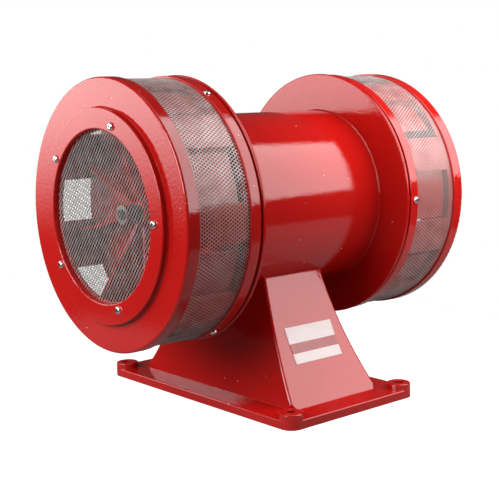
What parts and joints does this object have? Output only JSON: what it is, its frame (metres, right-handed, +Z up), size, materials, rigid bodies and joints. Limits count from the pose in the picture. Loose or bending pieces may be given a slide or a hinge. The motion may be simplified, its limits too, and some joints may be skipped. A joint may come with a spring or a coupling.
{
  "type": "motor siren",
  "caption": "Double-ended electric alarm siren with a chopper wheel in a meshed sound drum at each end of a motor, on a bolted pedestal.",
  "frame": {"origin": "middle of the base's underside", "axes": "+X along the motor axis, -Y towards the name plate, +Z up"},
  "size_m": [0.3988, 0.307, 0.3411],
  "materials": {
    "red_enamel": "glossy red enamel with a light orange peel, on cast aluminium",
    "bright_mesh": "bright expanded metal",
    "plated_screws": "bright plated",
    "bare_steel": "ground steel",
    "black_steel": "black oxide",
    "core_steel": "varnished laminations",
    "winding_copper": "varnished copper wire",
    "bare_aluminium": "satin",
    "zinc_sheet": "zinc plated sheet",
    "brass": "plain brass",
    "black_plastic": "black moulded plastic",
    "cream_plastic": "cream moulded plastic",
    "black_rubber": "black rubber",
    "lead_insulation": "coloured wire insulation",
    "blank_label": "blank white and red label"
  },
  "bodies": {
    "housing": {"pedestal": "red_enamel", "bottom_cover": "zinc_sheet", "bottom_cover_screws": "plated_screws", "name_plate": "blank_label", "component_tray": "zinc_sheet", "terminal_block": "cream_plastic", "run_capacitor": "bare_aluminium", "capacitor_clip": "zinc_sheet", "earth_screw": "brass", "lead_grommet": "black_rubber", "motor_leads": "lead_insulation", "gland_body": "black_plastic", "gland_cap": "black_plastic", "gland_lock_nut": "plated_screws", "motor_housing": "red_enamel", "saddle_screws": "plated_screws", "stator_core": "core_steel", "stator_windings": "winding_copper", "shield_screws": "plated_screws", "band_screws": "plated_screws", "front_screws": "plated_screws", "shaft_seals": "black_rubber", "bearing_spring_washer": "bare_steel", "left_end_shield": "red_enamel", "left_rear_band": "red_enamel", "left_port_bars": "red_enamel", "left_mesh_sleeve": "bright_mesh", "left_front_cap": "red_enamel", "left_front_mesh": "bright_mesh", "left_front_ring": "red_enamel", "left_bearing_outer_race": "bare_steel", "right_end_shield": "red_enamel", "right_rear_band": "red_enamel", "right_port_bars": "red_enamel", "right_mesh_sleeve": "bright_mesh", "right_front_cap": "red_enamel", "right_front_mesh": "bright_mesh", "right_front_ring": "red_enamel", "right_bearing_outer_race": "bare_steel"},
    "rotor": {"shaft": "bare_steel", "rotor_core": "core_steel", "rotor_cage": "bare_aluminium", "hub_spacers": "black_steel", "hub_washers": "plated_screws", "hub_screws": "black_steel", "hub_keys": "bare_steel", "left_bearing_inner_race": "bare_steel", "left_wheel_disc": "red_enamel", "left_wheel_blades": "red_enamel", "right_bearing_inner_race": "bare_steel", "right_wheel_disc": "red_enamel", "right_wheel_blades": "red_enamel"},
    "left_ball_cage": {"left_bearing_balls": "bare_steel", "left_bearing_cage": "brass"},
    "right_ball_cage": {"right_bearing_balls": "bare_steel", "right_bearing_cage": "brass"}
  },
  "joints": [
    {"name": "rotor_spin", "type": "hinge", "parent": "housing", "child": "rotor", "pos_m": [0, 0, 0.2053], "axis": [1, 0, 0], "continuous": true},
    {"name": "left_cage_spin", "type": "hinge", "parent": "housing", "child": "left_ball_cage", "pos_m": [0, 0, 0.2053], "axis": [1, 0, 0], "continuous": true},
    {"name": "right_cage_spin", "type": "hinge", "parent": "housing", "child": "right_ball_cage", "pos_m": [0, 0, 0.2053], "axis": [1, 0, 0], "continuous": true}
  ],
  "couplings": [
    {"joint": "left_cage_spin", "follows": "rotor_spin", "ratio": 0.384},
    {"joint": "right_cage_spin", "follows": "rotor_spin", "ratio": 0.384}
  ]
}
